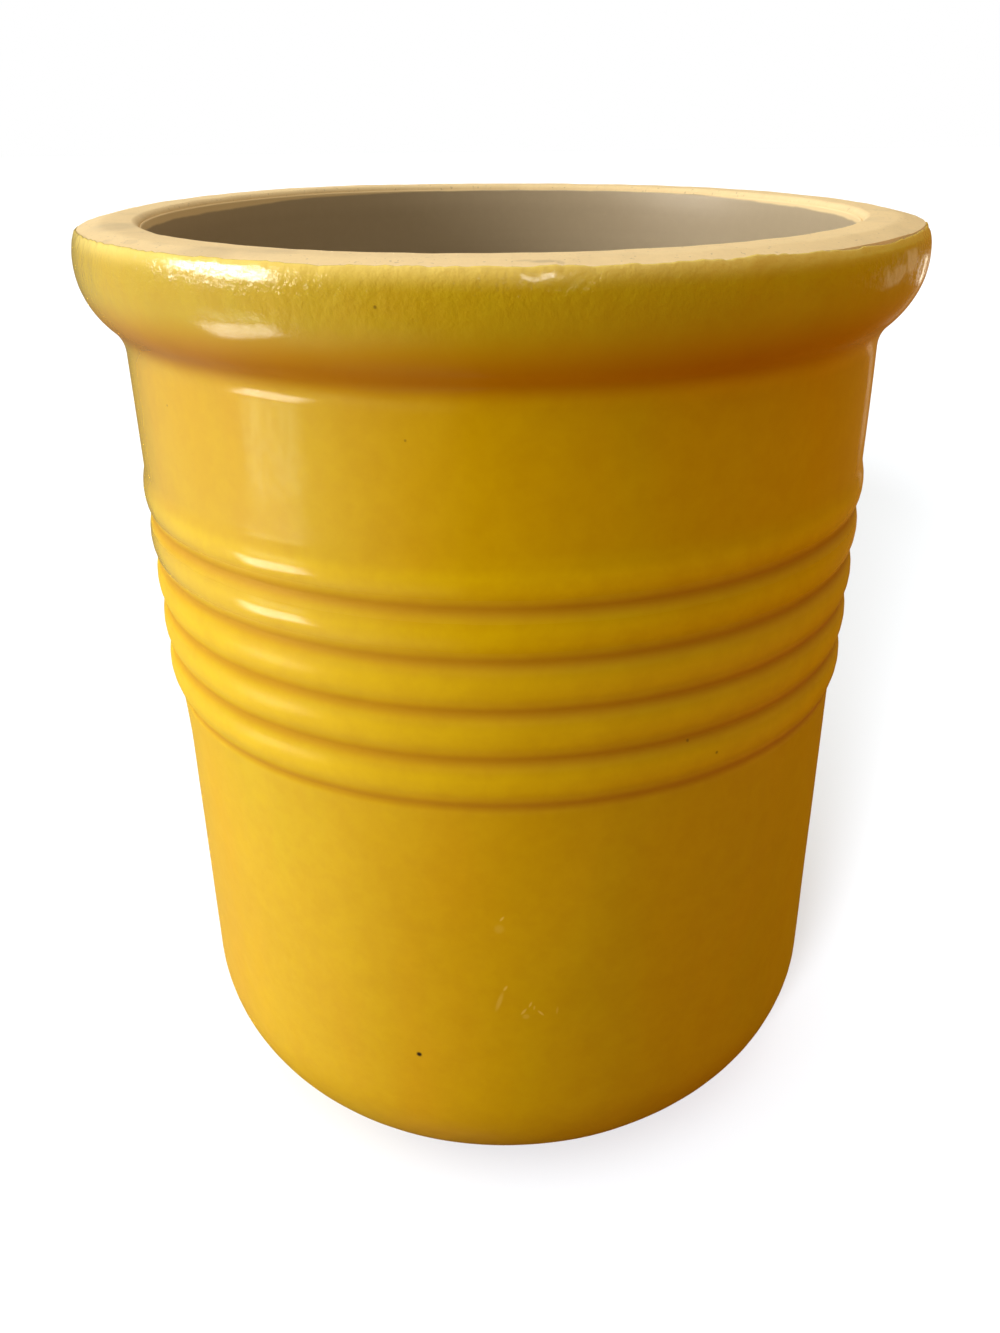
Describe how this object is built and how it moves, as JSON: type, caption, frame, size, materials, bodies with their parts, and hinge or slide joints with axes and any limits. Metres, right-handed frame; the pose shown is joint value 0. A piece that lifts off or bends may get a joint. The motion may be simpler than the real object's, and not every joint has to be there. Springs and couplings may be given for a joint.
{
  "type": "utensil crock",
  "caption": "Round open stoneware utensil crock with a thick rolled rim, a bare flat land, raised bands round a straight wall and a rounded base.",
  "frame": {"origin": "centre of the foot, on the surface that the crock stands on", "axes": "+Z is the crock's axis, up through the mouth; the object is round, so +X and +Y are free, and the picture is taken along +Y"},
  "size_m": [0.1524, 0.1524, 0.178],
  "materials": {
    "bare_clay": "fired buff stoneware, bare and dry, fine grained with faint stains",
    "yellow_glaze": "clear gloss over warm yellow, darker where it pools in the grooves",
    "grey_liner_glaze": "satin warm grey liner"
  },
  "bodies": {
    "root": {"clay_body": "bare_clay", "outer_glaze": "yellow_glaze", "liner_glaze": "grey_liner_glaze"}
  },
  "joints": []
}
